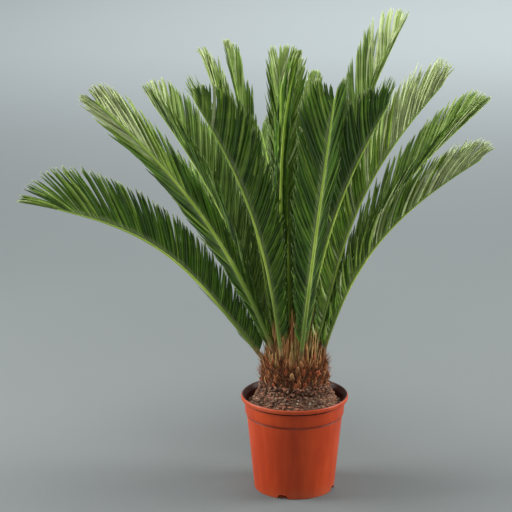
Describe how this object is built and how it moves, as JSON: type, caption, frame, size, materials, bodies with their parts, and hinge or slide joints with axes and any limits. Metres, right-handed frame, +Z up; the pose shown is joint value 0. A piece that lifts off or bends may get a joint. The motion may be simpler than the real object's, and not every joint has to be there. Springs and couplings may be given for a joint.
{
  "type": "potted sago palm",
  "caption": "Sago palm with a short shaggy trunk and a crown of stiff feather-like fronds, growing in a round tapered plastic nursery pot.",
  "frame": {"origin": "centre of the pot's flat underside, which stands on the floor", "axes": "+Z up along the trunk, front of the plant towards -Y, widest spread of the fronds along X"},
  "size_m": [1.06, 0.897, 1.0657],
  "materials": {
    "pot": "orange-red injection-moulded plastic, satin",
    "soil": "loose potting soil with bark chips, matt",
    "trunk": "dry brown leaf bases and fibres, matt",
    "frond": "stiff leathery leaflets, satin"
  },
  "bodies": {
    "root": {"pot": "pot", "soil": "soil", "trunk": "trunk", "frond_01": "frond", "frond_02": "frond", "frond_03": "frond", "frond_04": "frond", "frond_05": "frond", "frond_06": "frond", "frond_07": "frond", "frond_08": "frond", "frond_09": "frond", "frond_10": "frond", "frond_11": "frond", "frond_12": "frond", "frond_13": "frond", "frond_14": "frond", "frond_15": "frond", "frond_16": "frond", "frond_17": "frond", "frond_18": "frond", "frond_19": "frond", "frond_20": "frond", "frond_21": "frond", "frond_22": "frond", "frond_23": "frond"}
  },
  "joints": []
}
